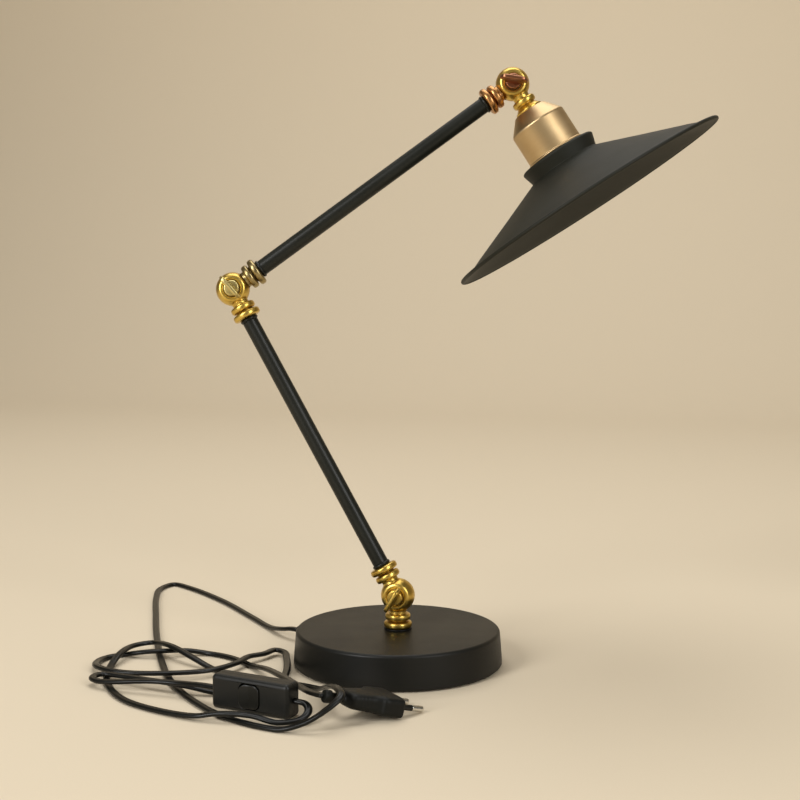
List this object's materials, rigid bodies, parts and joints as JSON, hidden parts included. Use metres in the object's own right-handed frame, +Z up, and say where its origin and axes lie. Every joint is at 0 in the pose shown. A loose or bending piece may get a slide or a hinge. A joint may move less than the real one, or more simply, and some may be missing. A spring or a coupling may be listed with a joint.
{
  "type": "swing-arm desk lamp",
  "caption": "Desk lamp with a round weighted foot, two swing arms on brass swivel knuckles with wing screws, a wide shallow metal shade, and a lead with switch and plug.",
  "frame": {"origin": "middle of the foot's underside, on the surface it stands on", "axes": "+Z up; the base knuckle's hinge axis lies along Y with its wing screw towards -Y; the lower arm leans towards -X and the head is out towards +X"},
  "size_m": [0.4781, 0.3674, 0.4322],
  "materials": {
    "black_metal": "satin powder coat",
    "cast_iron": "rough, unpainted",
    "foam": "matt",
    "brass": "polished",
    "olive_brass": "aged, polished",
    "coppery_brass": "polished",
    "pale_brass": "polished",
    "cup_brass": "fine brushed",
    "steel": "zinc plated",
    "shade_paint": "matt charcoal",
    "black_plastic": "semi-gloss",
    "moulded_rubber": "semi-matt",
    "lead_sheath": "glossy",
    "inner_insulation": "matt",
    "nickel": "nickel plated, polished"
  },
  "bodies": {
    "base": {"base_pad": "foam", "base_plate": "steel", "base_plate_screws": "steel", "base_weight": "cast_iron", "base_cover": "black_metal", "base_nipple": "brass", "base_nut": "steel", "base_nut_washer": "steel", "base_inner_lead": "inner_insulation", "cord_gland": "moulded_rubber", "stem_washer": "black_metal", "base_knuckle_rear": "brass", "base_stop_pin": "steel", "base_cord": "lead_sheath", "switch_front": "black_plastic", "switch_back": "black_plastic", "switch_screws": "steel", "switch_terminals": "brass", "plug_cord": "lead_sheath", "plug_body": "black_plastic", "plug_pins": "nickel", "plug_sleeves": "black_plastic"},
    "lower_arm": {"base_knuckle_front": "brass", "lower_arm_tube": "black_metal", "lower_arm_collars": "black_metal", "lower_arm_nipples": "brass", "lower_arm_lead": "inner_insulation", "elbow_knuckle_front": "brass", "lower_spring_washers": "steel"},
    "upper_arm": {"elbow_knuckle_rear": "olive_brass", "upper_arm_tube": "black_metal", "upper_arm_collars": "black_metal", "upper_arm_nipples": "brass", "upper_arm_lead": "inner_insulation", "head_knuckle_rear": "coppery_brass", "upper_stop_pins": "steel"},
    "head": {"head_knuckle_front": "brass", "head_spring_washer": "steel", "head_nipple": "brass", "head_nut": "steel", "cup": "cup_brass", "holder_body": "black_plastic", "holder_shell": "nickel", "holder_contact": "nickel", "shade_ring": "black_plastic", "shade": "shade_paint"},
    "base_screw": {"base_wing_screw": "brass"},
    "elbow_screw": {"elbow_wing_screw": "pale_brass"},
    "head_screw": {"head_wing_screw": "coppery_brass"},
    "switch_rocker": {"rocker": "black_plastic"}
  },
  "joints": [
    {"name": "base_tilt", "type": "hinge", "parent": "base", "child": "lower_arm", "pos_m": [0, 0, 0.0505], "axis": [0, 1, 0], "range_deg": [-60.7, 119.3]},
    {"name": "elbow_bend", "type": "hinge", "parent": "lower_arm", "child": "upper_arm", "pos_m": [-0.12381, 0, 0.27113], "axis": [0.2169, -0.9686, 0.1217], "range_deg": [-32.8, 197.2]},
    {"name": "head_tilt", "type": "hinge", "parent": "upper_arm", "child": "head", "pos_m": [0.07111, 0.06234, 0.41989], "axis": [0.2169, -0.9686, 0.1217], "range_deg": [-21.2, 208.8]},
    {"name": "base_screw_turn", "type": "hinge", "parent": "base", "child": "base_screw", "pos_m": [0, 0, 0.0505], "axis": [0, -1, 0], "range_deg": [0, 90]},
    {"name": "elbow_screw_turn", "type": "hinge", "parent": "upper_arm", "child": "elbow_screw", "pos_m": [-0.12381, 0, 0.27113], "axis": [0.2169, -0.9686, 0.1217], "range_deg": [0, 90]},
    {"name": "head_screw_turn", "type": "hinge", "parent": "upper_arm", "child": "head_screw", "pos_m": [0.07111, 0.06234, 0.41989], "axis": [0.2169, -0.9686, 0.1217], "range_deg": [0, 90]},
    {"name": "rocker_tilt", "type": "hinge", "parent": "base", "child": "switch_rocker", "pos_m": [-0.06529, -0.13724, 0.0115], "axis": [0, 0, 1], "range_deg": [-10, 0]}
  ]
}
